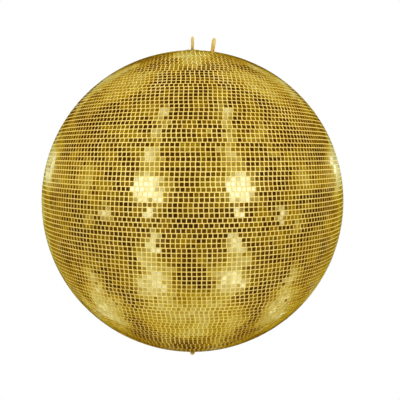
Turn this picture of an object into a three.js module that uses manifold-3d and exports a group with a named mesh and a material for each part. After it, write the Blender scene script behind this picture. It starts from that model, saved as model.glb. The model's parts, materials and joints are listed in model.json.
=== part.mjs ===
// Mirror ball, one metre across: two shells tiled in mirror, on a central tube, hung from a swivel eye.
// Millimetres, +Z up. The origin is the middle of the hanging eye's hole, and the ball turns about Z.

import * as THREE from 'three';
import { mergeVertices } from 'three/addons/utils/BufferGeometryUtils.js';
import Module from 'manifold-3d';

const wasm = await Module();
wasm.setup();

// ---- Driving dimensions. Heights are measured from the ball's centre, and angles from its north pole. ----

const GAP = 0.3;                 // clearance left between pieces that bear on each other
const BALL_SIDES = 32;           // facets round the ball
const SIDES = 24;                // facets round turned parts
const SMALL_SIDES = 12;          // facets round screws and pins

const TILE_FACE = 500;           // radius to the faces of the tiles
const TILE_THICKNESS = 2;
const TILE_SIZE = 10;
const ROW_ANGLE = 1.5;           // 120 rows from pole to pole
const ROWS_PER_BAND = 10;
const SHELL_WALL = 3;
const BACKING_WALL = 3;          // inner plates and joint ring

const TOP_ROW_ANGLE = 10.5;      // first row below the top plate
const BOTTOM_ROW_ANGLE = 7.5;    // the same, up from the south pole
const FACET_ANGLE = 7.5;         // facets from pole to pole, with extra breaks at plate rims and the seam
const RIM_INSET_ANGLE = 0.15;    // from a plate's rim to the first row
const SEAM_ANGLE = 3;            // half the joint ring's width

const HUB_RADIUS = 21;
const SHELL_HOLE = 24;
const FLANGE_UNDERSIDE = 499.9;
const TOP_FLANGE = { radius: 32, face: 505 };
const BOTTOM_FLANGE = { radius: 28, face: 504.4 };
const RING_NUT = { radius: 30, top: 490, height: 10, slotWidth: 6, slotDepth: 4 };
const TUBE = { outer: 21, inner: 18, end: 469.7 };
const SPIGOT = { radius: 17.7, shoulder: 470, end: 440 };
const CAVITY = { radius: 14, roof: 488 };
const BUSH = { outer: 9, flange: 13, flangeThickness: 2 };
const TUBE_PIN = { radius: 4, length: 46, height: 452 };

const STEM_POINT = 1;            // an eye's stem ends in a low cone inside the ring's bar
const EYE = {
  height: 530.5, ring: 17.5, bar: 5,
  shank: 6, neck: 9, neckBase: 507.6, neckHeight: 2, neckTaper: 1, end: 464,
};
const THRUST_WASHER = { outer: 13, thickness: 3 };
const CASTLE_NUT = { flats: 19, height: 15, slotWidth: 3.4, slotDepth: 5.5 };
const SPLIT_PIN = { radius: 1.3, length: 25, headRadius: 2.6, headThickness: 1.5 };

const SAFETY_EYE = {
  out: 66, height: 528.2, ring: 19, bar: 6, twist: 2.5,
  shank: 6, collar: 12.5, collarHeight: 1.5, stemTop: 8.5, seat: 502.8, end: 476,
};
const SAFETY_WASHER = { outer: 14, bottom: 500.3, top: 502.5 };
const SAFETY_NUT = { flats: 19, height: 10 };

const PLATE_SCREW = { radius: 3, head: 6, headHeight: 2.6, end: 483, socket: 2.3, socketDepth: 1.8 };
const BUTTON_HEAD = [[1, 0], [1, 0.3], [0.75, 0.85], [0.45, 1]];   // shares of a head's radius and height
const PLATE_NUT = { flats: 10, height: 5 };
const NUT_SEAT = 490.5;          // radius at which nuts bear on an inner plate
const TOP_SCREWS = { count: 4, out: 58, first: 45 };
const BOTTOM_SCREWS = { count: 3, out: 45, first: 30 };

const JOINT_SCREW = { radius: 2, head: 4, cone: 2.2, top: 497.2, end: 484, count: 8, offSeam: 1.4 };

const STUD = { radius: 5, top: 462, end: 540 };
const BOTTOM_WASHER = { outer: 14, top: 504.7, thickness: 2.5 };
const BOTTOM_NUT = { flats: 17, top: 507.5, height: 8 };
const CAP_NUT = { flats: 17, top: 527, hexHeight: 9, end: 545, domeInset: 0.6, domeSteps: 4 };

const TILE_BACK = TILE_FACE - TILE_THICKNESS;
const SHELL_OUTER = TILE_BACK - GAP;
const SHELL_INNER = SHELL_OUTER - SHELL_WALL;
const BACKING_OUTER = SHELL_INNER - GAP;
const BACKING_INNER = BACKING_OUTER - BACKING_WALL;

// ---- Finishes ----

const finish = (color, roughness, metalness) =>
  new THREE.MeshStandardMaterial({ color, roughness, metalness });

const goldMirror = finish(0xb98c1e, 0.08, 1);
const shellPlastic = finish(0xe3cf86, 0.75, 0);
const goldPlate = finish(0xa98432, 0.4, 0.9);
const forgedEye = finish(0xd2b667, 0.35, 0.95);
const zincSteel = finish(0xc9b88a, 0.35, 0.95);
const plainSteel = finish(0x8d8f92, 0.45, 0.9);
const bronze = finish(0x9a6b34, 0.4, 0.9);

// ---- Geometry helpers ----

const rad = THREE.MathUtils.degToRad;
const angleOut = (out, radius) => THREE.MathUtils.radToDeg(Math.asin(out / radius));

// [distance from the axis, height] of a point on a sphere about the ball's centre.
const onSphere = (radius, angle) => [radius * Math.sin(rad(angle)), radius * Math.cos(rad(angle))];

// Every wall concentric with the ball breaks its facets at these angles, so that walls stay parallel.
function facetAngles() {
  const northern = [BOTTOM_ROW_ANGLE, TOP_ROW_ANGLE, 90 - SEAM_ANGLE];
  for (let angle = FACET_ANGLE; angle < 90; angle += FACET_ANGLE) northern.push(angle);
  return [...northern, 90, ...northern.map((angle) => 180 - angle)].sort((a, b) => a - b);
}
const FACETS = facetAngles();

// A wall between two spheres, from one angle down to another, as a closed profile to be turned.
function sphereWall(inner, outer, from, to) {
  const angles = [from, ...FACETS.filter((angle) => angle > from && angle < to), to];
  const outside = angles.map((angle) => onSphere(outer, angle)).reverse();
  const inside = angles.map((angle) => onSphere(inner, angle));
  return [...outside, ...inside];
}

// Turns a profile of [radius, height] about Z. It runs up the outside, and is closed if it is off the axis.
function turned(profile, sides = SIDES) {
  const points = profile.map(([radius, height]) => new THREE.Vector2(radius, height));
  if (profile[0][0] > 0) points.push(points[0].clone());
  return new THREE.LatheGeometry(points, sides).rotateX(Math.PI / 2);
}

// A tube or washer about Z.
const hoop = (inner, outer, low, high, sides = SIDES) =>
  turned([[inner, low], [outer, low], [outer, high], [inner, high]], sides);

// A round bar about Z.
const rod = (radius, low, high, sides = SMALL_SIDES) =>
  turned([[0, low], [radius, low], [radius, high], [0, high]], sides);

// A round bar along X, centred on the axis at a height.
const crossRod = (radius, length, height) =>
  rod(radius, -length / 2, length / 2).rotateY(Math.PI / 2).translate(0, 0, height);

// A hexagonal nut with a plain bore, standing on its lower face.
function hexNut(flats, bore, low, height) {
  const corner = flats / 2 / Math.cos(Math.PI / 6);
  const outline = new THREE.Shape();
  for (let i = 0; i < 6; i += 1) {
    const [x, y] = [corner * Math.cos((i * Math.PI) / 3), corner * Math.sin((i * Math.PI) / 3)];
    if (i === 0) outline.moveTo(x, y);
    else outline.lineTo(x, y);
  }
  outline.holes.push(new THREE.Path().absarc(0, 0, bore, 0, 2 * Math.PI, true));
  const options = { depth: height, bevelEnabled: false, curveSegments: SMALL_SIDES };
  return new THREE.ExtrudeGeometry(outline, options).translate(0, 0, low);
}

// A forged ring about X with flat flanks: its bar is an eight-sided section.
function forgedRing(ringRadius, bar, height) {
  const sectionSides = 8;
  const corner = bar / Math.cos(Math.PI / sectionSides);
  const section = [];
  for (let i = 0; i < sectionSides; i += 1) {
    const turn = ((i + 0.5) * 2 * Math.PI) / sectionSides;
    section.push([ringRadius + corner * Math.cos(turn), corner * Math.sin(turn)]);
  }
  return turned(section).rotateY(Math.PI / 2).translate(0, 0, height);
}

function toSolid(geometry) {
  const bare = geometry.clone();
  bare.deleteAttribute('normal');
  bare.deleteAttribute('uv');
  const merged = mergeVertices(bare);
  const vertProperties = new Float32Array(merged.attributes.position.array);
  const triVerts = new Uint32Array(merged.index.array);
  return new wasm.Manifold(new wasm.Mesh({ numProp: 3, vertProperties, triVerts }));
}

function toGeometry(solid) {
  const mesh = solid.getMesh();
  const geometry = new THREE.BufferGeometry();
  geometry.setAttribute('position', new THREE.BufferAttribute(mesh.vertProperties, 3));
  geometry.setIndex(new THREE.BufferAttribute(mesh.triVerts, 1));
  geometry.computeVertexNormals();
  return geometry;
}

const cut = (body, ...tools) =>
  toGeometry(tools.reduce((solid, tool) => solid.subtract(toSolid(tool)), toSolid(body)));
const join = (body, ...others) =>
  toGeometry(others.reduce((solid, other) => solid.add(toSolid(other)), toSolid(body)));

// ---- Assembly ----

const mirrorBall = new THREE.Group();
const centred = new THREE.Group();   // everything below is measured from the ball's centre
centred.position.z = -EYE.height;
mirrorBall.add(centred);

function place(name, geometry, material, angle = 0, azimuth = 0) {
  const mesh = new THREE.Mesh(geometry, material);
  mesh.name = name;
  mesh.rotation.set(0, rad(angle), rad(azimuth), 'ZYX');
  centred.add(mesh);
}

// Screws stand square to the ball, each at an angle from the north pole and an azimuth.
const screwPlaces = ({ count, out, first }, south) =>
  Array.from({ length: count }, (_, i) => ({
    angle: south ? 180 - angleOut(out, TILE_FACE) : angleOut(out, TILE_FACE),
    azimuth: first + (i * 360) / count,
  }));
const topScrews = screwPlaces(TOP_SCREWS, false);
const bottomScrews = screwPlaces(BOTTOM_SCREWS, true);
const safetyAngle = angleOut(SAFETY_EYE.out, TILE_FACE);

// A hole square to the ball, from well inside the wall to well outside it.
const HOLE_REACH = [470, 520];
const radialHole = (radius, { angle, azimuth }) =>
  rod(radius, ...HOLE_REACH).rotateY(rad(angle)).rotateZ(rad(azimuth));

const topHoles = [
  ...topScrews.map((at) => radialHole(PLATE_SCREW.radius + GAP, at)),
  radialHole(SAFETY_EYE.shank + GAP, { angle: safetyAngle, azimuth: 0 }),
];
const bottomHoles = bottomScrews.map((at) => radialHole(PLATE_SCREW.radius + GAP, at));

// -- Swivel: the eye, and what holds the hub on its shank. They stay still while the ball turns. --

function swivelEye() {
  const { height, ring, bar, shank, neck, neckBase, neckHeight, neckTaper, end } = EYE;
  const stem = turned([
    [0, end],
    [shank, end],
    [shank, neckBase],
    [neck, neckBase],
    [neck - neckTaper, neckBase + neckHeight],
    [bar, height - ring - STEM_POINT],
    [0, height - ring],
  ]);
  const pinHole = crossRod(SPLIT_PIN.radius + GAP, SPLIT_PIN.length, splitPinHeight);
  return cut(join(forgedRing(ring, bar, height), stem), pinHole);
}

const washerTop = CAVITY.roof - GAP;
const castleTop = washerTop - THRUST_WASHER.thickness - GAP;
const castleBottom = castleTop - CASTLE_NUT.height;
const splitPinHeight = castleBottom + CASTLE_NUT.slotDepth / 2;

function castleNut() {
  const { flats, height, slotWidth, slotDepth } = CASTLE_NUT;
  const slots = [0, 1, 2].map((i) =>
    new THREE.BoxGeometry(2 * flats, slotWidth, 2 * slotDepth)
      .rotateZ((i * Math.PI) / 3)
      .translate(0, 0, castleBottom));
  return cut(hexNut(flats, EYE.shank + GAP, castleBottom, height), ...slots);
}

function splitPin() {
  const half = SPLIT_PIN.length / 2;
  const head = SPLIT_PIN.headThickness;
  const profile = [
    [0, -half],
    [SPLIT_PIN.headRadius, -half],
    [SPLIT_PIN.headRadius, head - half],
    [SPLIT_PIN.radius, head - half],
    [SPLIT_PIN.radius, half],
    [0, half],
  ];
  return turned(profile, SMALL_SIDES / 2).rotateY(Math.PI / 2).translate(0, 0, splitPinHeight);
}

place('swivel_eye', swivelEye(), forgedEye);
place('eye_thrust_washer',
  hoop(EYE.shank + GAP, THRUST_WASHER.outer, washerTop - THRUST_WASHER.thickness, washerTop), bronze);
place('eye_castle_nut', castleNut(), zincSteel);
place('eye_split_pin', splitPin(), plainSteel);

// -- Hubs and the tube between them --

function swivelHub() {
  const body = turned([
    [CAVITY.radius, SPIGOT.end],
    [SPIGOT.radius, SPIGOT.end],
    [SPIGOT.radius, SPIGOT.shoulder],
    [HUB_RADIUS, SPIGOT.shoulder],
    [HUB_RADIUS, FLANGE_UNDERSIDE],
    [TOP_FLANGE.radius, FLANGE_UNDERSIDE],
    [TOP_FLANGE.radius, TOP_FLANGE.face],
    [BUSH.outer + GAP, TOP_FLANGE.face],
    [BUSH.outer + GAP, CAVITY.roof],
    [CAVITY.radius, CAVITY.roof],
  ]);
  return cut(body, crossRod(TUBE_PIN.radius + GAP, TUBE_PIN.length, TUBE_PIN.height));
}

function hubBush() {
  const flangeLow = TOP_FLANGE.face + GAP;
  const flangeHigh = flangeLow + BUSH.flangeThickness;
  return turned([
    [EYE.shank + GAP, CAVITY.roof],
    [BUSH.outer, CAVITY.roof],
    [BUSH.outer, flangeLow],
    [BUSH.flange, flangeLow],
    [BUSH.flange, flangeHigh],
    [EYE.shank + GAP, flangeHigh],
  ]);
}

// A hub's clamping nut, with four slots for a hook spanner. The south one is the north one turned over.
function ringNut() {
  const { radius, top, height, slotWidth, slotDepth } = RING_NUT;
  const slots = [0, 1, 2, 3].map((i) =>
    new THREE.BoxGeometry(2 * slotDepth, slotWidth, 2 * height)
      .translate(radius, 0, top)
      .rotateZ((i * Math.PI) / 2));
  return cut(hoop(HUB_RADIUS + GAP, radius, top - height, top), ...slots);
}

function bottomHub() {
  const body = turned([
    [0, -STUD.top + GAP],
    [STUD.radius + GAP, -STUD.top + GAP],
    [STUD.radius + GAP, -BOTTOM_FLANGE.face],
    [BOTTOM_FLANGE.radius, -BOTTOM_FLANGE.face],
    [BOTTOM_FLANGE.radius, -FLANGE_UNDERSIDE],
    [HUB_RADIUS, -FLANGE_UNDERSIDE],
    [HUB_RADIUS, -SPIGOT.shoulder],
    [SPIGOT.radius, -SPIGOT.shoulder],
    [SPIGOT.radius, -SPIGOT.end],
    [0, -SPIGOT.end],
  ]);
  return cut(body, crossRod(TUBE_PIN.radius + GAP, TUBE_PIN.length, -TUBE_PIN.height));
}

const tubePinHole = (height) => crossRod(TUBE_PIN.radius + GAP, 2 * TUBE.outer + TUBE_PIN.radius, height);

place('swivel_hub', swivelHub(), zincSteel);
place('hub_bush', hubBush(), bronze);
place('hub_ring_nut', ringNut(), plainSteel);
place('bottom_hub', bottomHub(), zincSteel);
place('bottom_ring_nut', ringNut(), plainSteel, 180);
place('central_tube',
  cut(hoop(TUBE.inner, TUBE.outer, -TUBE.end, TUBE.end),
    tubePinHole(TUBE_PIN.height), tubePinHole(-TUBE_PIN.height)), plainSteel);
place('upper_tube_pin', crossRod(TUBE_PIN.radius, TUBE_PIN.length, TUBE_PIN.height), plainSteel);
place('lower_tube_pin', crossRod(TUBE_PIN.radius, TUBE_PIN.length, -TUBE_PIN.height), plainSteel);

// -- Plates either side of the shell at each pole --

const hubHoleAngle = angleOut(HUB_RADIUS + GAP, BACKING_INNER);
const topRim = TOP_ROW_ANGLE - RIM_INSET_ANGLE;
const bottomRim = 180 - (BOTTOM_ROW_ANGLE - RIM_INSET_ANGLE);

const dishedPlate = (inner, outer, from, to, holes) =>
  cut(turned(sphereWall(inner, outer, from, to), BALL_SIDES), ...holes);

place('top_plate', dishedPlate(TILE_BACK, TILE_FACE, hubHoleAngle, topRim, topHoles), goldPlate);
place('top_inner_plate',
  dishedPlate(BACKING_INNER, BACKING_OUTER, hubHoleAngle, topRim, topHoles), plainSteel);
place('bottom_plate',
  dishedPlate(TILE_BACK, TILE_FACE, bottomRim, 180 - hubHoleAngle, bottomHoles), goldPlate);
place('bottom_inner_plate',
  dishedPlate(BACKING_INNER, BACKING_OUTER, bottomRim, 180 - hubHoleAngle, bottomHoles), plainSteel);

// Button-headed screw with a hexagon socket, pointing at the ball's centre.
function plateScrew() {
  const { radius, head, headHeight, end, socket, socketDepth } = PLATE_SCREW;
  const seat = TILE_FACE + GAP;
  const crown = seat + headHeight;
  const body = turned([
    [0, end],
    [radius, end],
    [radius, seat],
    ...BUTTON_HEAD.map(([out, up]) => [out * head, seat + up * headHeight]),
    [0, crown],
  ], SMALL_SIDES);
  return cut(body, rod(socket, crown - socketDepth, crown + socketDepth, 6));
}

const plateNut = () =>
  hexNut(PLATE_NUT.flats, PLATE_SCREW.radius + GAP, NUT_SEAT - PLATE_NUT.height, PLATE_NUT.height);

const placeFasteners = (end, places) =>
  places.forEach(({ angle, azimuth }, i) => {
    place(`${end}_plate_screw_${i + 1}`, plateScrew(), zincSteel, angle, azimuth);
    place(`${end}_plate_nut_${i + 1}`, plateNut(), zincSteel, angle, azimuth);
  });
placeFasteners('top', topScrews);
placeFasteners('bottom', bottomScrews);

// -- Safety eye, square to the ball's surface beside the hub --

function safetyEye() {
  const { height, ring, bar, twist, shank, collar, collarHeight, stemTop, seat, end } = SAFETY_EYE;
  const stem = turned([
    [0, end],
    [shank, end],
    [shank, seat],
    [collar, seat],
    [collar, seat + collarHeight],
    [stemTop, height - ring],
    [0, height - ring + STEM_POINT],
  ]);
  return join(forgedRing(ring, bar, height), stem).rotateZ(rad(twist));
}

place('safety_eye', safetyEye(), forgedEye, safetyAngle);
place('safety_eye_washer',
  hoop(SAFETY_EYE.shank + GAP, SAFETY_WASHER.outer, SAFETY_WASHER.bottom, SAFETY_WASHER.top),
  zincSteel, safetyAngle);
place('safety_eye_nut',
  hexNut(SAFETY_NUT.flats, SAFETY_EYE.shank + GAP, NUT_SEAT - SAFETY_NUT.height, SAFETY_NUT.height),
  zincSteel, safetyAngle);

// -- Shells, joined on a hoop behind the seam --

const shellHoleAngle = angleOut(SHELL_HOLE, TILE_FACE);
const seamHalfGap = THREE.MathUtils.radToDeg(GAP / 2 / SHELL_OUTER);

// Alternate screws go into the upper and the lower half.
const jointScrews = Array.from({ length: JOINT_SCREW.count }, (_, i) => ({
  angle: 90 + (i % 2 ? JOINT_SCREW.offSeam : -JOINT_SCREW.offSeam),
  azimuth: (i * 360) / JOINT_SCREW.count,
}));

// Countersunk screw pointing at the ball's centre.
function jointScrew() {
  const { radius, head, cone, top, end } = JOINT_SCREW;
  return turned([[0, end], [radius, end], [radius, top - cone], [head, top], [0, top]], SMALL_SIDES);
}

// The hole for one: the screw's own shape with clearance, open outwards.
function jointHole({ angle, azimuth }) {
  const { radius, head, cone, top, end } = JOINT_SCREW;
  const hole = turned([
    [0, end - GAP],
    [radius + GAP, end - GAP],
    [radius + GAP, top - cone],
    [head + GAP, top],
    [head + GAP, TILE_FACE],
    [0, TILE_FACE],
  ], SMALL_SIDES);
  return hole.rotateY(rad(angle)).rotateZ(rad(azimuth));
}

const upperJointHoles = jointScrews.filter(({ angle }) => angle < 90).map(jointHole);
const lowerJointHoles = jointScrews.filter(({ angle }) => angle > 90).map(jointHole);
const shellWall = (from, to) => turned(sphereWall(SHELL_INNER, SHELL_OUTER, from, to), BALL_SIDES);

place('upper_shell',
  cut(shellWall(shellHoleAngle, 90 - seamHalfGap), ...topHoles, ...upperJointHoles), shellPlastic);
place('lower_shell',
  cut(shellWall(90 + seamHalfGap, 180 - shellHoleAngle), ...bottomHoles, ...lowerJointHoles), shellPlastic);
place('joint_ring',
  cut(turned(sphereWall(BACKING_INNER, BACKING_OUTER, 90 - SEAM_ANGLE, 90 + SEAM_ANGLE), BALL_SIDES),
    ...jointScrews.map(jointHole)), plainSteel);
jointScrews.forEach(({ angle, azimuth }, i) => {
  place(`joint_screw_${i + 1}`, jointScrew(), zincSteel, angle, azimuth);
});

// -- Mirror tiles: ten rows to a band, each an unbroken ring with half a row's open joint at its edges --

const jointAngle = (ROW_ANGLE - THREE.MathUtils.radToDeg(TILE_SIZE / TILE_FACE)) / 2;
const bandAngle = ROW_ANGLE * ROWS_PER_BAND;
const bandCount = 180 / bandAngle;

for (let i = 0; i < bandCount; i += 1) {
  const from = Math.max(i * bandAngle, TOP_ROW_ANGLE) + jointAngle;
  const to = Math.min((i + 1) * bandAngle, 180 - BOTTOM_ROW_ANGLE) - jointAngle;
  const name = `mirror_band_${String(i + 1).padStart(2, '0')}`;
  place(name, turned(sphereWall(TILE_BACK, TILE_FACE, from, to), BALL_SIDES), goldMirror);
}

// -- Threaded end below the ball --

function capNut() {
  const { flats, top, hexHeight, end, domeInset, domeSteps } = CAP_NUT;
  const hexCorner = flats / 2 / Math.cos(Math.PI / 6);
  const domeRadius = flats / 2 - domeInset;
  const domeTop = top + hexHeight;
  const domeHeight = end - domeTop;
  const dome = [[0, -end]];
  for (let i = 1; i <= domeSteps; i += 1) {
    const turn = (i * Math.PI) / 2 / domeSteps;
    dome.push([domeRadius * Math.sin(turn), -domeTop - domeHeight * Math.cos(turn)]);
  }
  const body = join(
    rod(hexCorner, -domeTop, -top, 6),
    turned([...dome, [domeRadius, -domeTop + domeInset], [0, -domeTop + domeInset]]));
  return cut(body, rod(STUD.radius + GAP, -STUD.end - GAP, -top + domeInset, SIDES));
}

place('bottom_stud', rod(STUD.radius, -STUD.end, -STUD.top, SIDES), zincSteel);
place('bottom_washer',
  hoop(STUD.radius + GAP, BOTTOM_WASHER.outer, -BOTTOM_WASHER.top - BOTTOM_WASHER.thickness,
    -BOTTOM_WASHER.top), zincSteel);
place('bottom_nut',
  hexNut(BOTTOM_NUT.flats, STUD.radius + GAP, -BOTTOM_NUT.top - BOTTOM_NUT.height, BOTTOM_NUT.height),
  zincSteel);
place('bottom_cap_nut', capNut(), zincSteel);

export default mirrorBall;
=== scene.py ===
# %% [markdown]
# # A mirror ball, one metre across
# A theatre's mirror ball is two moulded half shells screwed to a hoop, with about eighteen thousand
# small mirror tiles stuck on in level rows. It hangs from a swivel eye, so that it can turn under a
# fixed hook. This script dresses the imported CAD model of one: it keeps the inner workings as they
# are, and makes the tiles, plates, eyes and fasteners that are seen again, finer.

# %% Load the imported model
import math

import bmesh
import bpy
import numpy as np
from mathutils import Matrix, Vector
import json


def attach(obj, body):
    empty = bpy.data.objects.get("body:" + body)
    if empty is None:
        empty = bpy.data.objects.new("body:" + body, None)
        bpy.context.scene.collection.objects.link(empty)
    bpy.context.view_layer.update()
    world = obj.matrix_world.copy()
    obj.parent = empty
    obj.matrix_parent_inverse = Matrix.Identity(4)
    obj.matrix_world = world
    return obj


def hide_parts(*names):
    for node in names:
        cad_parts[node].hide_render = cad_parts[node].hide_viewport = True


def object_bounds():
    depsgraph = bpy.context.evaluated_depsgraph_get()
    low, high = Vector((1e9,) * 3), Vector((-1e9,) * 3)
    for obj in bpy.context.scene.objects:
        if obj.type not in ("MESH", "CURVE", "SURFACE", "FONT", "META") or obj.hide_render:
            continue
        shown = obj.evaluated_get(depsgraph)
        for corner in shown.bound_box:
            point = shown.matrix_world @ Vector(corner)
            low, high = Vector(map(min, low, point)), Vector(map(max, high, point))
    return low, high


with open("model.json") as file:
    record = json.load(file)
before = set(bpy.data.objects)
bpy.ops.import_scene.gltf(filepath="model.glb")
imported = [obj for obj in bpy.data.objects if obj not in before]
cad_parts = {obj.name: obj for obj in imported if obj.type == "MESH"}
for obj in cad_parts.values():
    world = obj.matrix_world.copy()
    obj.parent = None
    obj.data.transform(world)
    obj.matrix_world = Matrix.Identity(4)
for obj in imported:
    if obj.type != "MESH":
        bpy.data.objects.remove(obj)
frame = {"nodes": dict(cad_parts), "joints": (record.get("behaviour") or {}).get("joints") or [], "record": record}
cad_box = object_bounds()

MM = 0.001
rad = math.radians
centre = Vector(frame["joints"][0]["pos_m"])
tile_radius = (cad_box[1][0] - cad_box[0][0]) / 2 / MM
print("ball centre", tuple(round(v, 4) for v in centre), "radius in mm", round(tile_radius, 2))

# %% [markdown]
# ## The camera
# It stands 1.85 m from the ball's centre, a little above it. So near, less than half of the ball is
# seen, and the rows close up quickly towards its edge. A small shift, as of a view camera's back,
# places the ball in the picture without turning the camera, which would make it an oval.

# %% Camera
CAMERA_DISTANCE = 1.85
CAMERA_ELEVATION = 5
camera_data = bpy.data.cameras.new("camera")
camera_data.lens = 48.37
camera_data.shift_x, camera_data.shift_y = 0.0188, 0.0026
camera = bpy.data.objects.new("camera", camera_data)
bpy.context.scene.collection.objects.link(camera)
camera.location = centre + CAMERA_DISTANCE * Vector(
    (0, -math.cos(rad(CAMERA_ELEVATION)), math.sin(rad(CAMERA_ELEVATION))))
camera.rotation_euler = (rad(90 - CAMERA_ELEVATION), 0, 0)
bpy.context.scene.camera = camera
print("camera at", tuple(round(v, 4) for v in camera.location))

# %% [markdown]
# ## Tools for shaping
# Most of the metalwork is turned on a lathe. In Blender a ring of edges does the same work: it is
# extruded, scaled and moved from one step of the profile to the next. Every piece is made about the
# ball's centre, pointing up, with its heights in millimetres from there. Only when it is finished
# is it leaned over, moved to its place, and its transform applied.


# %% Selecting, and applying modifiers
def deselect():
    bpy.ops.object.select_all(action="DESELECT")


def use(piece):
    deselect()
    piece.select_set(True)
    bpy.context.view_layer.objects.active = piece


def apply(piece, kind, **settings):
    """Adds a modifier with these settings and applies it."""
    use(piece)
    modifier = piece.modifiers.new(kind.lower(), kind)
    for name, value in settings.items():
        setattr(modifier, name, value)
    bpy.ops.object.modifier_apply(modifier=modifier.name)


# %% Turning on the lathe
def turn(name, profile, sides=64, hollow=False):
    """A turned piece from (radius, height) steps: capped, or closed on itself if hollow."""
    deselect()
    steps = [(radius * MM, height * MM) for radius, height in profile]
    bpy.ops.mesh.primitive_circle_add(vertices=sides, radius=steps[0][0],
                                      location=(0, 0, steps[0][1]))
    piece = bpy.context.object
    piece.name = name
    bpy.ops.object.mode_set(mode="EDIT")
    bpy.ops.mesh.select_mode(type="EDGE")
    bpy.ops.mesh.select_all(action="SELECT")
    for (radius, height), (next_radius, next_height) in zip(steps, steps[1:]):
        bpy.ops.mesh.extrude_edges_indiv()
        grow = next_radius / radius
        bpy.ops.transform.resize(value=(grow, grow, 1), center_override=(0, 0, height))
        bpy.ops.transform.translate(value=(0, 0, next_height - height))
    bpy.ops.mesh.select_all(action="DESELECT")
    bpy.ops.mesh.select_non_manifold()
    if hollow:
        bpy.ops.mesh.bridge_edge_loops()
    else:
        bpy.ops.mesh.fill_holes(sides=0)
    bpy.ops.mesh.select_all(action="SELECT")
    bpy.ops.mesh.normals_make_consistent(inside=False)
    bpy.ops.object.mode_set(mode="OBJECT")
    bpy.ops.object.transform_apply()
    return piece


# %% Rounding, cutting and placing
SHARP_EDGE = 38                  # degrees: an edge that turns further than this is rounded
SMOOTH_EDGE = 30                 # and one that turns less than this is shaded smooth


def soften(piece, width, segments=2):
    """Rounds the edges that a file or a tumbling barrel would."""
    apply(piece, "BEVEL", width=width * MM, segments=segments,
          limit_method="ANGLE", angle_limit=rad(SHARP_EDGE))


def combine(piece, tool, operation):
    apply(piece, "BOOLEAN", operation=operation, object=tool, solver="EXACT")
    bpy.data.objects.remove(tool)


def leaned(angle, azimuth):
    return Matrix.Rotation(rad(azimuth), 4, "Z") @ Matrix.Rotation(rad(angle), 4, "Y")


def shift_to(piece, matrix):
    piece.matrix_world = matrix @ piece.matrix_world
    use(piece)
    bpy.ops.object.transform_apply()


def copy_of(piece, name):
    twin = piece.copy()
    twin.data = piece.data.copy()
    twin.name = name
    bpy.context.scene.collection.objects.link(twin)
    return twin


finish_of = {}


def fit(piece, body, slot, angle=0, azimuth=0, stands_for=None):
    """Puts a finished piece in its place, on its body, for its CAD node."""
    shift_to(piece, Matrix.Translation(centre) @ leaned(angle, azimuth))
    bpy.ops.object.shade_smooth_by_angle(angle=rad(SMOOTH_EDGE))
    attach(piece, body)
    if stands_for:
        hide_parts(stands_for)
    finish_of[piece] = slot
    print(piece.name, len(piece.data.polygons), "faces on", body)


# %% [markdown]
# ## The adhesive bed
# Between the tiles a pale, satin strip shows: the bed of gold adhesive over the shell, pressed up
# around each tile. The shells themselves stay from the CAD model, with flat facets. A smooth
# spherical wall, 1.3 mm thick, lies over each of them. It is turned like the metalwork, with one
# step to each row of tiles.

# %% Adhesive over both shells
ROW_ANGLE = 1.5
TOP_ROW_ANGLE = 10.5
BOTTOM_ROW_ANGLE = 7.5
BED_INNER, BED_OUTER = 497.8, 499.1
BED_SIDES = 192


def on_sphere(radius, angle):
    return radius * math.sin(rad(angle)), radius * math.cos(rad(angle))


def sphere_wall(inner, outer, start, end, step):
    """The profile of a wall between two spheres, from one angle off the north pole to another."""
    angles = np.linspace(start, end, max(2, round((end - start) / step) + 1))
    return [on_sphere(outer, a) for a in angles] + [on_sphere(inner, a) for a in angles[::-1]]


BED_EDGE = 0.05                  # degrees that a bed reaches past its outermost row
SEAM_EDGE = 0.006                # and stops short of the seam
for name, start, end in (("adhesive_bed_upper", TOP_ROW_ANGLE - BED_EDGE, 90 - SEAM_EDGE),
                         ("adhesive_bed_lower", 90 + SEAM_EDGE, 180 - BOTTOM_ROW_ANGLE + BED_EDGE)):
    wall = sphere_wall(BED_INNER, BED_OUTER, start, end, ROW_ANGLE)
    fit(turn(name, wall, sides=BED_SIDES, hollow=True), "ball", "shell_plastic")

# %% [markdown]
# ## One mirror tile
# A tile is 2 mm thick and 10 mm square by name, cut a little over that from gold mirror glass, with
# its four front edges ground off so that they don't chip. A cube is scaled to that, and the edges
# of its front face are bevelled. Ten faces are enough for a shape laid eighteen thousand times.

# %% Tile
TILE_SIZE = 10.4
TILE_THICKNESS = 2
GROUND_EDGE = 0.2

deselect()
bpy.ops.mesh.primitive_cube_add(size=1, location=(0, 0, -TILE_THICKNESS * MM / 2),
                                scale=(TILE_SIZE * MM, TILE_SIZE * MM, TILE_THICKNESS * MM))
tile = bpy.context.object
bpy.ops.object.transform_apply()
bpy.ops.object.mode_set(mode="EDIT")
bpy.ops.mesh.select_mode(type="FACE")
tile_mesh = bmesh.from_edit_mesh(tile.data)
for face in tile_mesh.faces:
    face.select_set(face.normal.z > 0.9)      # the front face alone
bmesh.update_edit_mesh(tile.data)
bpy.ops.mesh.bevel(offset=GROUND_EDGE * MM, segments=1, affect="EDGES")
bpy.ops.object.mode_set(mode="OBJECT")
tile_points = np.array([v.co[:] for v in tile.data.vertices])
tile_faces = np.array([p.vertices[:] for p in tile.data.polygons])
bpy.data.objects.remove(tile)
print("tile", len(tile_points), "corners", len(tile_faces), "faces")

# %% [markdown]
# ## Laying the tiles
# Tiles come in mats of a few rows, so rows of one mat line up and the next mat starts a little
# aside. No tile lies quite true: each leans by about half a degree, a whole mat of them leans
# together, and a few stand out by several degrees. Those leanings make the sparkle, because a
# mirror that leans one degree throws its light two degrees aside. A band of ten rows is one piece,
# as in the CAD model, and every tile keeps a number of its own, so that the finish can differ from
# tile to tile.

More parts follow.
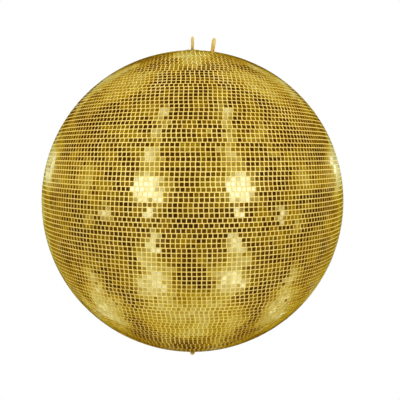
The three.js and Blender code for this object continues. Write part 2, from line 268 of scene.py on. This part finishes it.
# %% How rows start and tiles lean
PITCH = math.radians(ROW_ANGLE) * tile_radius
BAND_COUNT = 12
ROWS_PER_BAND = 10
FIRST_ROW = round(TOP_ROW_ANGLE / ROW_ANGLE)
LAST_ROW = round((180 - BOTTOM_ROW_ANGLE) / ROW_ANGLE)
FIRST_COLUMN = -math.pi / 2      # the meridian that rows are begun from
ROW_START = 0.09                 # how far rows miss it, in tiles
MAT_START = 0.4                  # and how far a whole mat does
LEAN = 0.55                      # degrees, of every tile
SKEW = 0.7                       # degrees, turned in its own plane
MAT_LEAN = 0.7                   # of a mat of tiles together
MAT_ROWS, MAT_TILES = 5, 9
STRAY_LEAN = 2.6                 # of the few that stand out
STRAY_SHARE = 0.035
PATCH_LEAN = 3.2                 # of small patches pressed in badly
PATCH_SHARE = 0.02
PATCH_ROWS, PATCH_TILES = 3, 4
TILE_SEED, MAT_START_SEED, MAT_LEAN_SEED, PATCH_SEED = 11, 7, 3, 5

chance = np.random.default_rng(TILE_SEED)


def patch_leans(row, columns, rows_high, tiles_wide, size, share, seed):
    """The same lean for all tiles of a patch, and none outside the share of patches that lean."""
    leans = np.zeros((len(columns), 2))
    for patch in np.unique(columns // tiles_wide):
        own = np.random.default_rng((seed, row // rows_high, int(patch)))
        if own.random() < share:
            leans[columns // tiles_wide == patch] = own.normal(0, size, 2)
    return leans


print("pitch of the tiles in mm", round(PITCH, 2), "rows", LAST_ROW - FIRST_ROW)


# %% One row of tiles
def row_of_tiles(row):
    """Corner points and tile numbers of one row."""
    angle = rad((row + 0.5) * ROW_ANGLE)
    count = int(2 * math.pi * tile_radius * math.sin(angle) / PITCH)
    columns = np.arange(count)
    mat = np.random.default_rng((MAT_START_SEED, row // MAT_ROWS))
    aside = mat.normal(0, MAT_START) + chance.normal(0, ROW_START)
    azimuth = FIRST_COLUMN + (columns + aside) * 2 * math.pi / count
    out = np.stack([math.sin(angle) * np.cos(azimuth), math.sin(angle) * np.sin(azimuth),
                    np.full(count, math.cos(angle))], axis=1)
    east = np.stack([-np.sin(azimuth), np.cos(azimuth), np.zeros(count)], axis=1)
    north = np.cross(out, east)
    leans = chance.normal(0, LEAN, (count, 2))
    leans += patch_leans(row, columns, MAT_ROWS, MAT_TILES, MAT_LEAN, 1, MAT_LEAN_SEED)
    leans += patch_leans(row, columns, PATCH_ROWS, PATCH_TILES, PATCH_LEAN, PATCH_SHARE, PATCH_SEED)
    stray = chance.random(count) < STRAY_SHARE
    leans[stray] += chance.normal(0, STRAY_LEAN, (int(stray.sum()), 2))
    facing = (out + np.tan(np.radians(leans[:, :1])) * east
              + np.tan(np.radians(leans[:, 1:])) * north)
    facing /= np.linalg.norm(facing, axis=1, keepdims=True)
    across = np.cross(north + np.radians(chance.normal(0, SKEW, (count, 1))) * east, facing)
    across /= np.linalg.norm(across, axis=1, keepdims=True)
    up = np.cross(facing, across)
    middle = out * tile_radius * MM + np.array(centre)
    points = (middle[:, None, :] + tile_points[None, :, :1] * across[:, None, :]
              + tile_points[None, :, 1:2] * up[:, None, :]
              + tile_points[None, :, 2:] * facing[:, None, :])
    return points.reshape(-1, 3), chance.random(count)


# %% Lay the bands
tile_total = 0
for band in range(BAND_COUNT):
    rows = range(max(band * ROWS_PER_BAND, FIRST_ROW), min((band + 1) * ROWS_PER_BAND, LAST_ROW))
    laid = [row_of_tiles(row) for row in rows]
    points = np.concatenate([row_points for row_points, _ in laid])
    numbers = np.concatenate([row_numbers for _, row_numbers in laid])
    first_points = np.arange(len(numbers))[:, None, None] * len(tile_points)
    faces = (first_points + tile_faces[None]).reshape(-1, 4)
    mesh = bpy.data.meshes.new(f"tiles_{band + 1:02d}")
    mesh.from_pydata(points.tolist(), [], faces.tolist())
    mesh.attributes.new("tile_number", "FLOAT", "FACE").data.foreach_set(
        "value", np.repeat(numbers, len(tile_faces)).astype(np.float32))
    mesh.update()
    tiles = bpy.data.objects.new(f"mirror_tiles_{band + 1:02d}", mesh)
    bpy.context.scene.collection.objects.link(tiles)
    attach(tiles, "ball")
    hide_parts(f"mirror_band_{band + 1:02d}")
    finish_of[tiles] = "mirror_tile"
    tile_total += len(numbers)
print("tiles laid", tile_total)

# %% [markdown]
# ## Plates at the poles
# A dished steel plate covers the shell at each pole and carries the hub. It is pressed from sheet
# and follows the ball's curve, so it is turned in the same way as the bed, one degree to a step,
# and its rim is rounded. The screws' holes are then drilled, square to the ball.

# %% Dished plates
HUB_RADIUS = 21
CLEARANCE = 0.3
PLATE_INNER, PLATE_OUTER = 498, 500
PLATE_STEP, PLATE_SIDES = 1, 96
PLATE_ROUNDING = 0.6
RIM_INSET = 0.15
SCREW_RADIUS = 3
SAFETY_SHANK = 6


def angle_out(out, radius=PLATE_OUTER):
    """The angle off the pole of a place this far out from the axis."""
    return math.degrees(math.asin(out / radius))


top_screws = [(angle_out(58), 45 + 90 * i) for i in range(4)]
bottom_screws = [(180 - angle_out(45), 30 + 120 * i) for i in range(3)]
safety_angle = angle_out(66)
DRILL_FROM, DRILL_TO = 470, 520


def drill(piece, radius, angle, azimuth):
    """Drills through a plate, square to the ball."""
    bit = turn("bit", [(radius, DRILL_FROM), (radius, DRILL_TO)], sides=32)
    shift_to(bit, leaned(angle, azimuth))
    combine(piece, bit, "DIFFERENCE")


def dished_plate(name, start, end):
    wall = sphere_wall(PLATE_INNER, PLATE_OUTER, start, end, PLATE_STEP)
    return turn(name, wall, sides=PLATE_SIDES, hollow=True)


hub_angle = angle_out(HUB_RADIUS + CLEARANCE)
top_plate = dished_plate("dished_top_plate", hub_angle, TOP_ROW_ANGLE - RIM_INSET)
bottom_plate = dished_plate("dished_bottom_plate",
                            180 - BOTTOM_ROW_ANGLE + RIM_INSET, 180 - hub_angle)
for plate, screws in ((top_plate, top_screws), (bottom_plate, bottom_screws)):
    soften(plate, PLATE_ROUNDING, 3)
    for angle, azimuth in screws:
        drill(plate, SCREW_RADIUS + CLEARANCE, angle, azimuth)
drill(top_plate, SAFETY_SHANK + CLEARANCE, safety_angle, 0)
fit(top_plate, "ball", "gold_plate", stands_for="top_plate")
fit(bottom_plate, "ball", "gold_plate", stands_for="bottom_plate")

# %% [markdown]
# ## Hubs, bush and washers
# These are plain lathe work: a profile of steps, then softened edges. The upper hub is a tube that
# holds the bush in which the eye's shank turns. The lower one is solid and carries the rod.

# %% Turned pieces
HUB_LEDGE = 488                  # where the bush ends, and the thrust washer runs below it

hub = turn("turned_swivel_hub", [
    (14, 440), (17.7, 440), (17.7, 470), (HUB_RADIUS, 470), (HUB_RADIUS, 499.9), (32, 499.9),
    (32, 505), (9.3, 505), (9.3, HUB_LEDGE), (14, HUB_LEDGE)], sides=96, hollow=True)
bush = turn("turned_hub_bush", [
    (6.3, HUB_LEDGE), (9, HUB_LEDGE), (9, 505.3), (13, 505.3), (13, 507.3), (6.3, 507.3)],
    hollow=True)
lower_hub = turn("turned_bottom_hub", [
    (5.3, -461.7), (5.3, -504.4), (28, -504.4), (28, -499.9), (HUB_RADIUS, -499.9),
    (HUB_RADIUS, -470), (17.7, -470), (17.7, -440)], sides=96)


def washer(name, inner, outer, low, high):
    return turn(name, [(inner, low), (outer, low), (outer, high), (inner, high)], hollow=True)


lower_washer = washer("turned_bottom_washer", 5.3, 14, -507.2, -504.7)
safety_washer = washer("turned_safety_washer", 6.3, 14, 500.3, 502.5)

# %% Cross holes, rounded edges, and into place
TUBE_PIN_RADIUS, TUBE_PIN_HEIGHT = 4.3, 452


def cross_bore(piece, radius, reach, height, sides):
    """Bores straight across a piece, at a height on its axis."""
    reamer = turn("reamer", [(radius, -reach), (radius, reach)], sides=sides)
    shift_to(reamer, Matrix.Translation((0, 0, height * MM)) @ Matrix.Rotation(rad(90), 4, "Y"))
    combine(piece, reamer, "DIFFERENCE")


for piece, height in ((hub, TUBE_PIN_HEIGHT), (lower_hub, -TUBE_PIN_HEIGHT)):
    cross_bore(piece, TUBE_PIN_RADIUS, 30, height, sides=32)
for piece, width in ((hub, 0.7), (bush, 0.4), (lower_hub, 0.7),
                     (lower_washer, 0.3), (safety_washer, 0.3)):
    soften(piece, width)
fit(hub, "ball", "zinc_fastener", stands_for="swivel_hub")
fit(bush, "ball", "bronze", stands_for="hub_bush")
fit(lower_hub, "ball", "zinc_fastener", stands_for="bottom_hub")
fit(lower_washer, "ball", "zinc_fastener", stands_for="bottom_washer")
fit(safety_washer, "ball", "zinc_fastener", angle=safety_angle, stands_for="safety_eye_washer")

# %% [markdown]
# ## The two eyes
# An eyebolt is forged in one: a ring of round bar that flows into a shouldered shank. A torus and a
# turned stem overlap, a voxel remesh makes one skin of them, and a smoothing pass fills the corner
# where they meet, as the forging die does.


# %% Forged eyes
FORGING_GRAIN = 0.8              # mm, the remesh's cells
FORGING_PASSES = 7


def forged_eye(name, ring, bar, height, stem):
    deselect()
    bpy.ops.mesh.primitive_torus_add(major_radius=ring * MM, minor_radius=bar * MM,
                                     major_segments=96, minor_segments=32,
                                     location=(0, 0, height * MM), rotation=(0, rad(90), 0))
    eye = bpy.context.object
    eye.name = name
    bpy.ops.object.transform_apply()
    combine(eye, turn("stem", stem, sides=48), "UNION")
    apply(eye, "REMESH", mode="VOXEL", voxel_size=FORGING_GRAIN * MM, use_smooth_shade=True)
    apply(eye, "SMOOTH", factor=0.5, iterations=FORGING_PASSES)
    return eye


swivel_eye = forged_eye("forged_swivel_eye", 17.5, 5, 530.5, [
    (6, 464), (6, 507.6), (9, 507.6), (9, 508.2), (8.4, 509.6), (7.2, 511), (6.4, 512.2),
    (5.6, 513.4)])
THRUST_WASHER, CASTLE_NUT, CASTLE_SLOT = 3, 15, 5.5      # heights of what hangs under the ledge
SPLIT_PIN_RADIUS = 1.6
split_pin_height = (HUB_LEDGE - CLEARANCE - THRUST_WASHER - CLEARANCE - CASTLE_NUT
                    + CASTLE_SLOT / 2)
cross_bore(swivel_eye, SPLIT_PIN_RADIUS, 15, split_pin_height, sides=24)
fit(swivel_eye, "hanger", "forged_eye", stands_for="swivel_eye")

SAFETY_TWIST = 2.5               # degrees, as it came to rest when its nut was drawn up
safety_eye = forged_eye("forged_safety_eye", 19, 6, 528.2, [
    (SAFETY_SHANK, 476), (SAFETY_SHANK, 502.8), (12.5, 502.8), (12.5, 504.2), (11.4, 505.2),
    (9.8, 506.4), (8.9, 508), (8.4, 509.6)])
shift_to(safety_eye, Matrix.Rotation(rad(SAFETY_TWIST), 4, "Z"))
fit(safety_eye, "ball", "forged_eye", angle=safety_angle, stands_for="safety_eye")

# %% [markdown]
# ## Button-headed screws
# Seven screws hold the plates. One is modelled, with a domed head and a hexagon socket cut into it,
# and copied to the other places.

# %% Plate screws
HEAD_RADIUS, HEAD_HEIGHT, HEAD_SEAT = 6, 2.6, 500.3
HEAD_RIM = 0.4                   # the short upright edge under the dome
SOCKET_RADIUS, SOCKET_DEPTH = 2.3, 1.8

head_top = HEAD_SEAT + HEAD_HEIGHT
head_dome = [(HEAD_RADIUS * math.cos(rad(t)) ** 0.8,
              HEAD_SEAT + HEAD_RIM + (HEAD_HEIGHT - HEAD_RIM) * math.sin(rad(t)))
             for t in (0, 18, 36, 52, 66)]
first_screw = turn("screw", [(2.6, 483), (SCREW_RADIUS, 483.4), (SCREW_RADIUS, HEAD_SEAT),
                             (HEAD_RADIUS - 0.2, HEAD_SEAT), *head_dome], sides=48)
socket = turn("socket", [(SOCKET_RADIUS, head_top - SOCKET_DEPTH), (SOCKET_RADIUS, head_top + 1)],
              sides=6)
combine(first_screw, socket, "DIFFERENCE")
for end, places in (("top", top_screws), ("bottom", bottom_screws)):
    for i, (angle, azimuth) in enumerate(places, start=1):
        fit(copy_of(first_screw, f"button_screw_{end}_{i}"), "ball", "zinc_fastener",
            angle=angle, azimuth=azimuth, stands_for=f"{end}_plate_screw_{i}")
bpy.data.objects.remove(first_screw)

# %% [markdown]
# ## Rod, nut and cap nut below the ball
# The corners of a nut are turned off by a cone, which leaves its curved chamfers. A hexagonal
# prism is intersected with such a turned drum, and then bored. The rod's thread is a row of
# grooves, 1.5 mm apart, cut in the same way as any other turned profile.

# %% A nut's blank, and its bore
STUD_RADIUS = 5
STUD_BORE = STUD_RADIUS + CLEARANCE
NUT_FLATS = 17
CHAMFER_FACE, DRUM_OVER = 0.96, 1.01      # of half the flats, and of the corners


def nut_blank(name, flats, low, high):
    corner = flats / 2 / math.cos(rad(30))
    deselect()
    bpy.ops.mesh.primitive_cylinder_add(vertices=6, radius=corner * MM, depth=(high - low) * MM,
                                        location=(0, 0, (low + high) / 2 * MM),
                                        rotation=(0, 0, rad(30)))
    blank = bpy.context.object
    blank.name = name
    bpy.ops.object.transform_apply()
    face = flats / 2 * CHAMFER_FACE
    rise = (corner - face) * math.tan(rad(30))
    over = corner * DRUM_OVER
    drum = turn("drum", [(face, low), (over, low + rise), (over, high - rise), (face, high)],
                sides=96)
    combine(blank, drum, "INTERSECT")
    return blank


def bore(piece, low, high):
    combine(piece, turn("bore", [(STUD_BORE, low), (STUD_BORE, high)], sides=48), "DIFFERENCE")


# %% Nut and cap nut
CAP_LOW, CAP_HIGH = -536, -527
DOME_RADIUS, DOME_HEIGHT = 7.9, 9

nut = nut_blank("chamfered_bottom_nut", NUT_FLATS, -515.5, -507.5)
bore(nut, -520, -500)
soften(nut, 0.15)
fit(nut, "ball", "zinc_fastener", stands_for="bottom_nut")

cap = nut_blank("domed_cap_nut", NUT_FLATS, CAP_LOW, CAP_HIGH)
cap_dome = [(DOME_RADIUS * math.cos(rad(t)), CAP_LOW - DOME_HEIGHT * math.sin(rad(t)))
            for t in (86, 76, 64, 52, 40, 28, 16, 6)]
cap_dome += [(DOME_RADIUS, CAP_LOW + 0.5), (DOME_RADIUS, CAP_LOW + 1)]
combine(cap, turn("dome", cap_dome, sides=64), "UNION")
bore(cap, -540.3, -520)
soften(cap, 0.15)
fit(cap, "ball", "zinc_fastener", stands_for="bottom_cap_nut")

# %% Threaded rod
THREAD_PITCH, THREAD_DEPTH, THREAD_TURNS = 1.5, 0.7, 22
FIRST_CREST = -538.6

root = STUD_RADIUS - THREAD_DEPTH
grooves = []
for i in range(THREAD_TURNS):
    crest = FIRST_CREST + i * THREAD_PITCH
    grooves += [(STUD_RADIUS, crest), (STUD_RADIUS, crest + 0.2),
                (root, crest + 0.75), (root, crest + 0.95)]
stud = turn("threaded_rod", [(3.6, -540), *grooves, (STUD_RADIUS, -505.5), (STUD_RADIUS, -462)],
            sides=48)
fit(stud, "ball", "zinc_fastener", stands_for="bottom_stud")

# %% [markdown]
# ## Writing materials as sums
# A finish is a tree of nodes, but most of it is arithmetic: a base value plus a pattern times an
# amount. A small wrapper round a node's output socket lets that be written as a Python expression,
# and adds the Math nodes. Every other node comes from one method.


# %% Sums on sockets
class Value:
    """A node's output. Sums, differences, products and powers of it add Math nodes."""

    def __init__(self, bench, socket):
        self.bench, self.socket = bench, socket

    def math(self, operation, *others):
        return self.bench.add("ShaderNodeMath", {"operation": operation},
                              dict(enumerate([self, *others])))

    def __add__(self, other): return self.math("ADD", other)
    def __radd__(self, other): return self.math("ADD", other)
    def __sub__(self, other): return self.math("SUBTRACT", other)

    def __rsub__(self, other):
        return self.bench.add("ShaderNodeMath", {"operation": "SUBTRACT"}, {0: other, 1: self})

    def __mul__(self, other): return self.math("MULTIPLY", other)
    def __rmul__(self, other): return self.math("MULTIPLY", other)
    def __pow__(self, other): return self.math("POWER", other)


# %% The bench where nodes are put together
class Bench:
    """Adds nodes to a tree, which it empties first."""

    def __init__(self, tree):
        self.tree = tree
        tree.nodes.clear()

    def add(self, kind, settings=None, inputs=None, output=0):
        """Adds a node, with its settings first and then the values or links of its inputs."""
        node = self.tree.nodes.new(kind)
        for name, value in (settings or {}).items():
            if name == "stops":
                ramp = node.color_ramp.elements
                while len(ramp) < len(value):
                    ramp.new(0.5)
                for element, (place, colour) in zip(ramp, value):
                    element.position, element.color = place, (*colour, 1)
            else:
                setattr(node, name, value)
        for name, value in (inputs or {}).items():
            if isinstance(value, Value):
                self.tree.links.new(value.socket, node.inputs[name])
            elif node.inputs[name].type == "RGBA":
                node.inputs[name].default_value = (*value, 1)
            else:
                node.inputs[name].default_value = value
        return Value(self, node.outputs[output]) if len(node.outputs) else node

    def step(self, value, start, end, low=0.0, high=1.0):
        """A smooth step of value from low, at start, to high, at end."""
        return self.add("ShaderNodeMapRange", {"interpolation_type": "SMOOTHSTEP"},
                        {"Value": value, "From Min": start, "From Max": end,
                         "To Min": low, "To Max": high})

    def mix(self, factor, first, second):
        """From the first colour to the second."""
        return self.add("ShaderNodeMix", {"data_type": "RGBA"},
                        {0: factor, 6: first, 7: second}, output=2)

    def noise(self, where, scale, detail=2.0):
        return self.add("ShaderNodeTexNoise", None,
                        {"Vector": where, "Scale": scale, "Detail": detail})

    def times(self, vector, by):
        """A vector, or a colour, times another."""
        return self.add("ShaderNodeVectorMath", {"operation": "MULTIPLY"}, {0: vector, 1: by})

    def off_axis(self, where):
        """The distance from the upright axis."""
        flat = self.times(where, (1, 1, 0))
        return self.add("ShaderNodeVectorMath", {"operation": "LENGTH"}, {0: flat}, output=1)


# %% Starting and closing a finish
def new_finish(name):
    """A material with an empty bench, and the piece's own coordinates."""
    material = bpy.data.materials.new(name)
    material.use_nodes = True
    bench = Bench(material.node_tree)
    where = bench.add("ShaderNodeTexCoord", output=3)
    return material, bench, where


def close_finish(bench, colour, roughness, metallic, bump=None, bump_depth=0.0, **fixed):
    """The shader itself. A bump's depth is in millimetres."""
    inputs = {"Base Color": colour, "Roughness": roughness, "Metallic": metallic, **fixed}
    if bump is not None:
        inputs["Normal"] = bench.add("ShaderNodeBump", None,
                                     {"Height": bump, "Distance": bump_depth * MM, "Strength": 1.0})
    surface = bench.add("ShaderNodeBsdfPrincipled", None, inputs)
    bench.add("ShaderNodeOutputMaterial", None, {"Surface": surface})


finishes = {}

# %% [markdown]
# ## Gold mirror
# A gold mirror is glass with a tinted silvering: a smooth metal under a clear coat. Batches of
# glass differ a little, so each tile's own number picks its tint. A faint cloud in the silvering
# and the haze of hands and dust change the colour and the roughness, and the glass is never quite
# flat.

# %% Mirror finish
DEEP_GOLD, PALE_GOLD = (0.66, 0.45, 0.115), (0.82, 0.62, 0.23)
finishes["mirror_tile"], bench, where = new_finish("gold_mirror")
number = bench.add("ShaderNodeAttribute", {"attribute_name": "tile_number"}, output=2)
cloud = bench.noise(where, 90.0, 3.0)
haze = bench.noise(where, 9.0, 4.0)
tint = bench.mix(bench.step(number + 0.35 * cloud, 0.1, 1.35), DEEP_GOLD, PALE_GOLD)
roughness = 0.055 + 0.05 * haze + 0.05 * number ** 4
ripple = bench.noise(where, 60.0, 1.0)
close_finish(bench, tint, roughness, 1.0, bump=ripple, bump_depth=0.02,
             **{"Coat Weight": 0.8, "Coat Roughness": 0.04})

# %% [markdown]
# ## Adhesive and shell
# The adhesive is coloured with gold powder, so it is made partly metallic, with a satin sheen. It
# is a little uneven in colour, and has a fine orange-peel surface from the brush.

# %% Adhesive finish
PALE_ADHESIVE, WARM_ADHESIVE = (0.99, 0.80, 0.27), (0.93, 0.70, 0.19)
finishes["shell_plastic"], bench, where = new_finish("pale_gold_adhesive")
blotch = bench.noise(where, 14.0, 4.0)
grain = bench.noise(where, 320.0, 2.0)
tint = bench.mix(bench.step(blotch, 0.35, 0.7), PALE_ADHESIVE, WARM_ADHESIVE)
close_finish(bench, tint, 0.28 + 0.15 * grain, 0.7, bump=grain, bump_depth=0.15)

# %% [markdown]
# ## Lacquered plates
# The plates are satin gold lacquer over steel. Faint rings from pressing and polishing run round
# the ball's axis, so the pattern is drawn on the distance from it, and thin patches dull the shine.

# %% Lacquer finish
LACQUER, WORN_LACQUER = (0.72, 0.48, 0.09), (0.80, 0.59, 0.17)
finishes["gold_plate"], bench, where = new_finish("satin_gold_lacquer")
rings = bench.add("ShaderNodeTexNoise", {"noise_dimensions": "1D"},
                  {"W": bench.off_axis(where), "Scale": 900.0, "Detail": 2.0})
worn = bench.step(bench.noise(where, 22.0, 5.0), 0.42, 0.68)
tint = bench.mix(worn, LACQUER, WORN_LACQUER)
close_finish(bench, tint, 0.24 + 0.12 * rings + 0.14 * worn, 0.88, bump=rings, bump_depth=0.05)

# %% [markdown]
# ## Yellow zinc on forgings and fasteners
# Yellow zinc plating is thin, and its colour drifts from straw to a duller or a paler gold. A slow
# noise picks between them. Forgings keep a soft, pitted skin. Turned fasteners are smoother and
# brighter, with shallower pits, so one function makes both finishes.


# %% Zinc finishes
def zinc(name, straw, other, pit_scale, pit_depth, dullness, metallic):
    material, bench, where = new_finish(name)
    drift = bench.noise(where, 45.0, 2.0)
    pits = bench.noise(where, pit_scale, 3.0)
    tint = bench.mix(bench.step(drift, 0.35, 0.65), straw, other)
    close_finish(bench, tint, dullness + 0.18 * pits, metallic, bump=pits, bump_depth=pit_depth)
    return material


finishes["forged_eye"] = zinc("yellow_zinc_forging", (0.94, 0.73, 0.25), (0.86, 0.65, 0.23),
                              pit_scale=300.0, pit_depth=0.06, dullness=0.28, metallic=0.80)
finishes["zinc_fastener"] = zinc("yellow_zinc_turned", (0.88, 0.67, 0.24), (0.82, 0.65, 0.30),
                                 pit_scale=240.0, pit_depth=0.02, dullness=0.18, metallic=0.92)

# %% [markdown]
# ## Plain steel and bronze
# Inside the ball the tube, hoop and nuts are plain steel, with drawn streaks along them and a few
# brown specks. The bush is bronze, darker where oil has stood.

# %% Steel finish
STEEL, BROWN_SPECK = (0.50, 0.51, 0.52), (0.24, 0.17, 0.11)
finishes["plain_steel"], bench, where = new_finish("bright_steel")
drawn = bench.times(where, (1, 1, 0.06))
streaks = bench.noise(drawn, 400.0, 3.0)
specks = bench.step(bench.noise(where, 130.0, 3.0), 0.66, 0.74)
tint = bench.mix(specks, STEEL, BROWN_SPECK)
close_finish(bench, tint, 0.26 + 0.2 * streaks + 0.3 * specks, 1.0 - 0.7 * specks,
             bump=streaks, bump_depth=0.03)

# %% Bronze finish
BRONZE, OILED_BRONZE = (0.62, 0.40, 0.18), (0.40, 0.23, 0.09)
finishes["bronze"], bench, where = new_finish("oiled_bronze")
oil = bench.step(bench.noise(where, 120.0, 3.0), 0.4, 0.62)
tint = bench.mix(oil, BRONZE, OILED_BRONZE)
close_finish(bench, tint, 0.34 - 0.14 * oil, 1.0, bump=oil, bump_depth=0.02)
print("finishes", sorted(finishes))

# %% [markdown]
# ## Giving every piece its finish
# New pieces take the finish of the slot they were given. CAD pieces that stay take theirs from the
# record, which names a slot for each node.

# %% Assign finishes
for piece, slot in finish_of.items():
    piece.data.materials.clear()
    piece.data.materials.append(finishes[slot])
kept = 0
for part in frame["record"]["subparts"]:
    node = frame["nodes"][part["node"]]
    if not node.hide_render:
        finish = finishes[part["material_slot"]]
        for i in range(len(node.data.materials)):
            node.data.materials[i] = finish
        if len(node.data.materials) == 0:
            node.data.materials.append(finish)
        kept += 1
print("new pieces", len(finish_of), "CAD pieces kept", kept)

# %% [markdown]
# ## Light
# A mirror ball shows nothing but the room around it, so the room is the light. It is drawn on the
# sky by direction, for reflections only: a dim warm room, a bright floor, two tall soft boxes
# either side of the camera, small lamps beside and behind, and a few dark corners. Noise stands for
# the clutter of a real room. Matt surfaces see an even white sky, and the camera sees plain white.
# Both sides of the room are alike, so only one is drawn.

# %% Directions in the room
world = bpy.data.worlds.new("studio")
bpy.context.scene.world = world
world.use_nodes = True
world.cycles.sampling_method = "NONE"
bench = Bench(world.node_tree)
view_direction = bench.add("ShaderNodeTexCoord")
axes = [bench.add("ShaderNodeSeparateXYZ", None, {0: view_direction}, output=i) for i in range(3)]
side = axes[0].math("ABSOLUTE")
to_degrees = 180 / math.pi
azimuth = side.math("ARCTAN2", axes[1] * -1.0) * to_degrees
elevation = axes[2].math("ARCSINE") * to_degrees


def within(value, middle, half, soft):
    """One inside a range of a value, fading to nothing over a soft edge."""
    return bench.step((value - middle).math("ABSOLUTE"), half, half + soft, 1.0, 0.0)


def patch(azimuth_at, half_wide, elevation_at, half_high, soft):
    return (within(azimuth, azimuth_at, half_wide, soft)
            * within(elevation, elevation_at, half_high, soft))


# %% Lights and shades
# Each is a brightness, then azimuth, half width, elevation, half height and soft edge in degrees.
# Azimuth is counted from the front, the camera's side, and is the same to the left and right.
SOFT_BOX = [
    (0.56, 48, 3.5, 66, 3.5, 4), (0.44, 38, 2, 54, 6, 4), (0.36, 33, 1.5, 40, 8, 4),   # leaning top
    (0.32, 32, 4, 22, 13, 8), (0.16, 26, 8, 12, 6, 9), (0.80, 33, 7, 12, 5, 6),        # cloth, lamp
    (0.90, 31, 1.5, -3, 1.5, 2), (0.75, 31, 2, -24, 4, 3), (0.42, 36, 5, -38, 6, 7),   # small lamps
]
FLOOR_GLOW = [
    (0.60, 42, 12, -54, 4, 9), (0.30, 21, 3, -45, 3, 5),
    (0.36, 99, 3, -38, 3, 6), (0.55, 126, 14, -46, 3, 10), (0.25, 150, 6, -37, 3, 7),
]
LAMPS_BESIDE = [
    (0.42, 143, 9, 5, 3, 5), (0.20, 120, 16, 8, 2, 5), (0.15, 145, 12, -12, 14, 10),
    (0.65, 64, 2, -4, 1.5, 3), (0.35, 80, 1.5, -9, 2, 4), (0.26, 87, 4, 12, 5, 6),
    (0.28, 68, 12, 45, 1, 3),
]
WALL_BEHIND = [
    (0.32, 134, 12, 50, 8, 10), (0.38, 155, 6, 27, 5, 6), (0.36, 180, 4, 45, 14, 5),
]
DARK_CORNERS = [(-0.10, 4, 7, -12, 6, 5), (-0.10, 3, 5, -52, 6, 6), (-0.09, 96, 11, 2, 1.5, 3)]
room = SOFT_BOX + FLOOR_GLOW + LAMPS_BESIDE + WALL_BEHIND + DARK_CORNERS
print("lights and shades in the room", len(room))

# %% [markdown]
# ## From a glow to a colour
# Lights, clutter and floor add up to one number, the glow in a direction. A ramp then gives it a
# colour: what is dim is brown and gold, and what is bright is a cool, nearly neutral light, because
# the mirrors lend it their own gold. The room behind the ball is a little warmer than in front.

# %% Glow and tone
DIM_ROOM, MURMUR, CLUTTER, FLOOR_LIGHT = -0.01, 0.05, 0.28, 0.30
TONES = [
    (0.0, (0.075, 0.036, 0.0)), (0.06, (0.16, 0.09, 0.001)), (0.13, (0.26, 0.18, 0.004)),
    (0.3, (0.47, 0.40, 0.015)), (0.5, (0.68, 0.70, 0.34)), (0.7, (0.53, 0.62, 0.69)),
    (0.85, (0.48, 0.60, 0.83)), (1.0, (0.50, 0.63, 0.97)),
]
BEHIND_TONE = (1, 0.97, 0.6)

murmur = bench.noise(view_direction, 5.0, 2.0)
clutter = bench.noise(bench.times(view_direction, (1, 1, 2.6)), 5.0, 3.0)      # wider than high
glow = DIM_ROOM + MURMUR * murmur + bench.step(clutter, 0.42, 0.70, 0.0, CLUTTER)
for strength, *place in room:
    glow = glow + strength * patch(*place)
glow = glow + bench.step(elevation, -58.0, -72.0, 0.0, FLOOR_LIGHT)
tone = bench.add("ShaderNodeValToRGB", {"stops": TONES}, {"Fac": glow})
warmth = bench.mix(bench.step(azimuth, 90.0, 125.0), (1, 1, 1), BEHIND_TONE)
tone = bench.times(tone, warmth)
shine = bench.step(glow, 0.5, 1.0, 1.0, 3.0)
print("nodes that draw the room", len(world.node_tree.nodes))

# %% What the camera, the mirrors and matt surfaces see
SKY_LIGHT = 3.5
is_glossy = bench.add("ShaderNodeLightPath", output=3)
mirrored = bench.add("ShaderNodeBackground", None, {"Color": tone, "Strength": shine})
plain = bench.add("ShaderNodeBackground", None, {"Color": (1, 1, 1), "Strength": SKY_LIGHT})
white = bench.add("ShaderNodeBackground", None, {"Color": (1, 1, 1), "Strength": 1.0})
is_camera = bench.add("ShaderNodeLightPath")
sky = bench.add("ShaderNodeMixShader", None, {0: is_glossy, 1: plain, 2: mirrored})
sky = bench.add("ShaderNodeMixShader", None, {0: is_camera, 1: sky, 2: white})
bench.add("ShaderNodeOutputWorld", None, {"Surface": sky})
bpy.context.scene.view_settings.view_transform = "Standard"
print("even light on matt surfaces", SKY_LIGHT)

# %% [markdown]
# ## Floor
# The ball hangs well above a plain pale floor. Away from the ball the floor fades into the white
# of the backdrop, as a studio's sweep does.

# %% Floor
FLOOR_DROP, FLOOR_RADIUS = 2.2, 5
FADE_START, FADE_END = 0.7, 1.7
deselect()
bpy.ops.mesh.primitive_circle_add(vertices=96, radius=FLOOR_RADIUS, fill_type="NGON",
                                  location=(0, 0, -FLOOR_DROP))
floor = bpy.context.object
floor.name = "studio_floor"
bpy.ops.object.transform_apply()
floor.visible_glossy = False
material, bench, where = new_finish("pale_floor")
fade = bench.step(bench.off_axis(where), FADE_START, FADE_END)
paint = bench.add("ShaderNodeBsdfDiffuse", None, {"Color": (0.70, 0.70, 0.69)})
backdrop = bench.add("ShaderNodeEmission", None, {"Color": (1, 1, 1), "Strength": 1.0})
surface = bench.add("ShaderNodeMixShader", None, {0: fade, 1: paint, 2: backdrop})
bench.add("ShaderNodeOutputMaterial", None, {"Surface": surface})
floor.data.materials.append(material)
print("floor at", -FLOOR_DROP)

# %% [markdown]
# ## Closing

# %% Closing
import json
